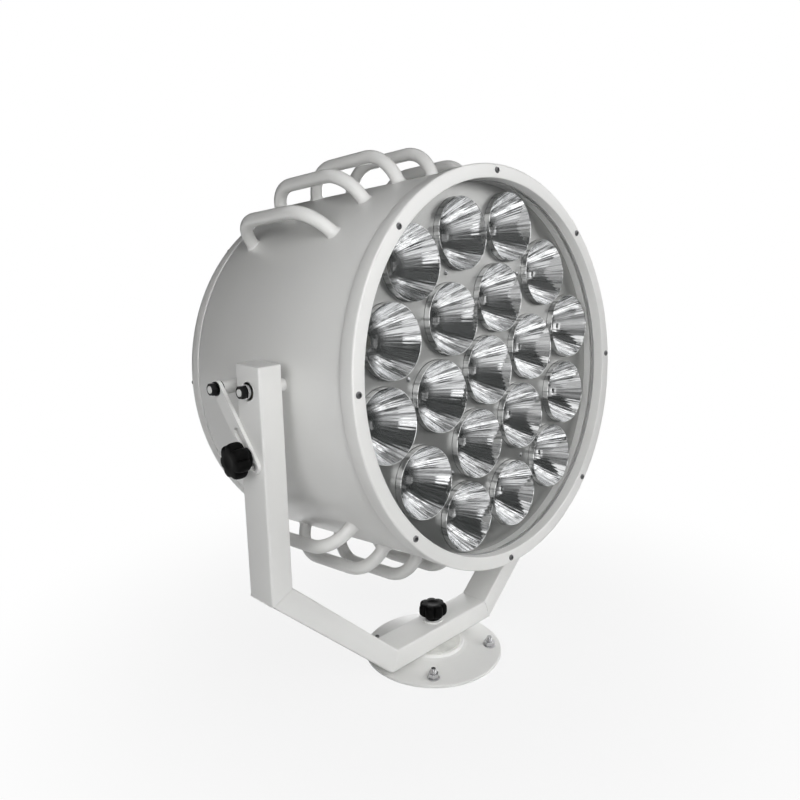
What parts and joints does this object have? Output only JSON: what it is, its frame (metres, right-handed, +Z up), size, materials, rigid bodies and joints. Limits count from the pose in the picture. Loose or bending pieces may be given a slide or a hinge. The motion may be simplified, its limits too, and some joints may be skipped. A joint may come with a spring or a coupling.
{
  "type": "marine searchlight",
  "caption": "Round drum searchlight with deep mirror reflectors behind one window, tilting in a tube yoke that pans on a round deck base, with rod loops and lock knobs.",
  "frame": {"origin": "middle of the base's underside, on the pan axis", "axes": "+Z up along the pan axis, the lamp faces -Y, the tilt lock is on the -X leg"},
  "size_m": [0.6045, 0.3632, 0.6869],
  "materials": {
    "white_paint": "semi-gloss white enamel",
    "alloy": "plain sheet",
    "black_plastic": "moulded black",
    "steel": "stainless",
    "black_steel": "blackened",
    "brass": "plain",
    "nylon": "natural",
    "seal": "matt",
    "glass": "clear",
    "mirror": "bright",
    "drum_paint": "semi-gloss white enamel",
    "led": "domed emitter on its board",
    "driver": "plain case"
  },
  "bodies": {
    "base": {"base_flange": "white_paint", "pan_spindle": "steel", "pan_thrust_washer": "nylon"},
    "pan_knob": {"pan_lock_knob": "black_plastic", "pan_knob_insert": "brass"},
    "yoke": {"yoke_crossbar": "white_paint", "yoke_brace_left": "white_paint", "yoke_brace_right": "white_paint", "yoke_leg_left": "white_paint", "yoke_leg_right": "white_paint", "leg_caps": "white_paint", "pan_bush": "brass", "trunnion_bush_left": "brass", "trunnion_bush_right": "brass", "pan_knob_washer": "steel", "tilt_lock_stud": "steel"},
    "tilt_knob": {"tilt_lock_knob": "black_plastic", "tilt_knob_insert": "brass", "tilt_lock_washer": "steel"},
    "link": {"tilt_link": "white_paint"},
    "lamp": {"drum_shell": "drum_paint", "bezel_ring": "drum_paint", "bezel_screws": "steel", "glass_gasket": "seal", "front_glass": "glass", "rear_cover": "drum_paint", "rear_gasket": "seal", "rear_cover_screws": "steel", "reflector_plate": "alloy", "reflector_centre": "mirror", "reflectors_inner": "mirror", "reflectors_outer": "mirror", "led_modules": "led", "heat_spreader": "alloy", "heat_sink": "alloy", "heat_sink_bolts": "steel", "driver_box": "driver", "plate_standoffs": "steel", "trunnion_boss_left": "white_paint", "trunnion_boss_right": "white_paint", "trunnion_stud_left": "black_steel", "trunnion_stud_right": "black_steel", "trunnion_washers": "steel", "trunnion_nuts": "black_steel", "link_post": "white_paint", "link_washers": "black_steel", "link_nut": "black_steel", "cable_gland": "brass", "gland_nut": "brass", "top_loops": "drum_paint", "bottom_loops": "drum_paint"}
  },
  "joints": [
    {"name": "pan", "type": "hinge", "parent": "base", "child": "yoke", "pos_m": [0, 0, 0.02], "axis": [0, 0, 1], "continuous": true},
    {"name": "tilt", "type": "hinge", "parent": "yoke", "child": "lamp", "pos_m": [0, 0, 0.4235], "axis": [-1, 0, 0], "range_deg": [-15, 35]},
    {"name": "link_swing", "type": "hinge", "parent": "lamp", "child": "link", "pos_m": [-0.2842, 0.05486, 0.41941], "axis": [-1, 0, 0], "range_deg": [-24, 11]},
    {"name": "pan_lock_turn", "type": "hinge", "parent": "base", "child": "pan_knob", "pos_m": [0, 0, 0.06], "axis": [0, 0, 1], "range_deg": [0, 360]},
    {"name": "tilt_lock_turn", "type": "hinge", "parent": "yoke", "child": "tilt_knob", "pos_m": [-0.3, 0, 0.3525], "axis": [-1, 0, 0], "range_deg": [0, 360]}
  ],
  "couplings": [
    {"joint": "link_swing", "follows": "tilt", "ratio": -0.669}
  ]
}
